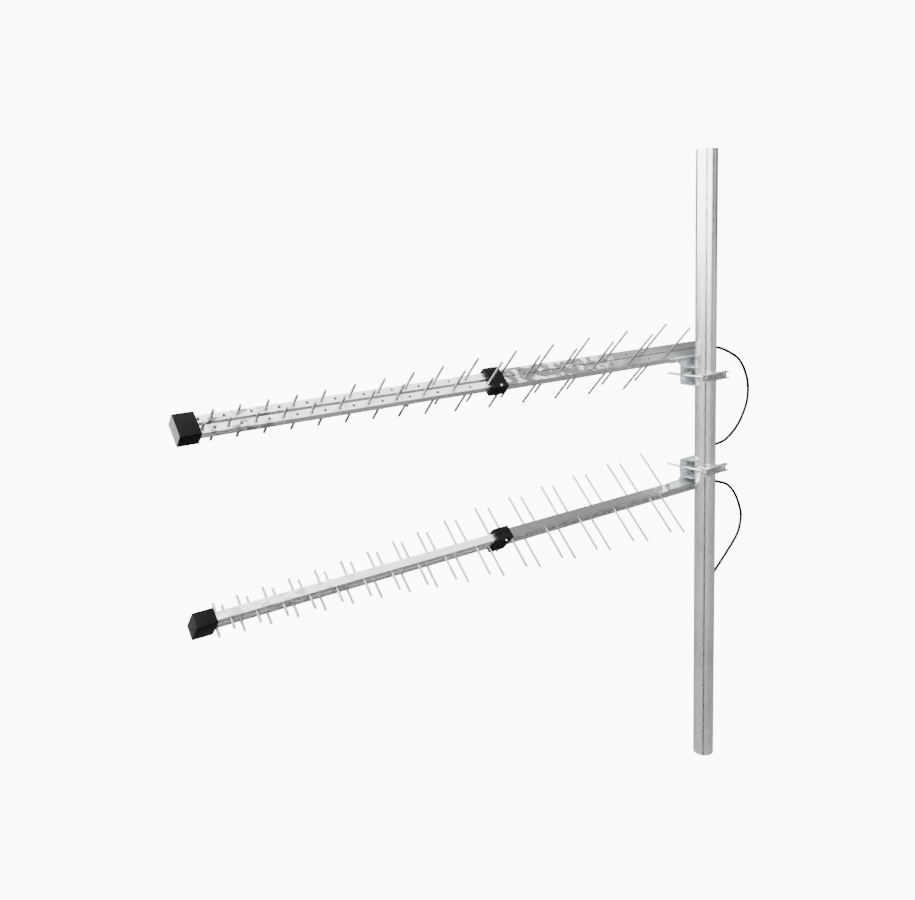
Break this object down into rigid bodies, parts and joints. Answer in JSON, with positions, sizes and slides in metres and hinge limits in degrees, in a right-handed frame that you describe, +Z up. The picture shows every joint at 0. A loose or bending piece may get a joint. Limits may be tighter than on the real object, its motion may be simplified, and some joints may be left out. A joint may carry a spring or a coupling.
{
  "type": "crossed log-periodic antenna pair on mast",
  "caption": "Crossed log-periodic dipole arrays clamped to a round mast, with coax loops into the mast.",
  "frame": {"origin": "centre of the mast tube's open bottom end", "axes": "+Z up the mast, -X along the booms to their noses, the booms pass the mast on its +Y side"},
  "size_m": [1.4888, 0.172, 1.5],
  "materials": {
    "galvanised_steel": "galvanised, satin",
    "aluminium": "mill finish, satin",
    "zinc_plate": "zinc plated sheet",
    "zinc_steel": "zinc plated hardware",
    "brass": "bare",
    "black_plastic": "moulded, slight sheen",
    "rubber": "matte",
    "cable_jacket": "smooth jacket"
  },
  "bodies": {
    "mast": {"mast_tube": "galvanised_steel", "upper_cable_grommet": "rubber", "lower_cable_grommet": "rubber"},
    "upper_array": {"upper_front_channel_near": "aluminium", "upper_front_channel_far": "aluminium", "upper_rear_channel_near": "aluminium", "upper_rear_channel_far": "aluminium", "upper_nose_cap": "black_plastic", "upper_feed_link": "brass", "upper_feed_coax": "cable_jacket", "upper_splice_shell_top": "black_plastic", "upper_splice_shell_bottom": "black_plastic", "upper_splice_screw_near": "zinc_steel", "upper_splice_screw_far": "zinc_steel", "upper_rear_spacer": "black_plastic", "upper_cable_gland": "black_plastic", "upper_coax_cable": "cable_jacket", "upper_mount_plate": "zinc_plate", "upper_plate_screw_front": "zinc_steel", "upper_plate_screw_rear": "zinc_steel", "upper_saddle_bracket": "zinc_plate", "upper_bracket_rivet_top": "zinc_steel", "upper_bracket_rivet_bottom": "zinc_steel"},
    "upper_jaw": {"upper_clamp_bar": "zinc_plate", "upper_clamp_bolt_left": "zinc_steel", "upper_clamp_bolt_right": "zinc_steel"},
    "upper_nut_left": {"upper_wing_nut_left": "zinc_steel"},
    "upper_nut_right": {"upper_wing_nut_right": "zinc_steel"},
    "lower_array": {"lower_front_channel_near": "aluminium", "lower_front_channel_far": "aluminium", "lower_rear_channel_near": "aluminium", "lower_rear_channel_far": "aluminium", "lower_nose_cap": "black_plastic", "lower_feed_link": "brass", "lower_feed_coax": "cable_jacket", "lower_splice_shell_top": "black_plastic", "lower_splice_shell_bottom": "black_plastic", "lower_splice_screw_near": "zinc_steel", "lower_splice_screw_far": "zinc_steel", "lower_rear_spacer": "black_plastic", "lower_cable_gland": "black_plastic", "lower_coax_cable": "cable_jacket", "lower_mount_plate": "zinc_plate", "lower_plate_screw_front": "zinc_steel", "lower_plate_screw_rear": "zinc_steel", "lower_saddle_bracket": "zinc_plate", "lower_bracket_rivet_top": "zinc_steel", "lower_bracket_rivet_bottom": "zinc_steel"},
    "lower_jaw": {"lower_clamp_bar": "zinc_plate", "lower_clamp_bolt_left": "zinc_steel", "lower_clamp_bolt_right": "zinc_steel"},
    "lower_nut_left": {"lower_wing_nut_left": "zinc_steel"},
    "lower_nut_right": {"lower_wing_nut_right": "zinc_steel"}
  },
  "joints": [
    {"name": "upper_aim", "type": "hinge", "parent": "mast", "child": "upper_array", "pos_m": [0, 0, 1.03], "axis": [0, 0, 1], "range_deg": [-30, 30]},
    {"name": "upper_nut_turn_left", "type": "hinge", "parent": "upper_array", "child": "upper_nut_left", "pos_m": [-0.033, 0.045, 0.975], "axis": [0, 1, 0], "range_deg": [0, 2161]},
    {"name": "upper_nut_turn_right", "type": "hinge", "parent": "upper_array", "child": "upper_nut_right", "pos_m": [0.033, 0.045, 0.975], "axis": [0, 1, 0], "range_deg": [0, 2161]},
    {"name": "upper_jaw_slide", "type": "slide", "parent": "upper_array", "child": "upper_jaw", "axis": [0, -1, 0], "range_m": [0, 0.006]},
    {"name": "lower_aim", "type": "hinge", "parent": "mast", "child": "lower_array", "pos_m": [0, 0, 0.696], "axis": [0, 0, 1], "range_deg": [-30, 30]},
    {"name": "lower_nut_turn_left", "type": "hinge", "parent": "lower_array", "child": "lower_nut_left", "pos_m": [-0.033, 0.045, 0.748], "axis": [0, 1, 0], "range_deg": [0, 2161]},
    {"name": "lower_nut_turn_right", "type": "hinge", "parent": "lower_array", "child": "lower_nut_right", "pos_m": [0.033, 0.045, 0.748], "axis": [0, 1, 0], "range_deg": [0, 2161]},
    {"name": "lower_jaw_slide", "type": "slide", "parent": "lower_array", "child": "lower_jaw", "axis": [0, -1, 0], "range_m": [0, 0.006]}
  ],
  "couplings": [
    {"joint": "upper_nut_turn_left", "follows": "upper_jaw_slide", "rad_per_m": 6283.2},
    {"joint": "upper_nut_turn_right", "follows": "upper_jaw_slide", "rad_per_m": 6283.2},
    {"joint": "lower_nut_turn_left", "follows": "lower_jaw_slide", "rad_per_m": 6283.2},
    {"joint": "lower_nut_turn_right", "follows": "lower_jaw_slide", "rad_per_m": 6283.2}
  ]
}
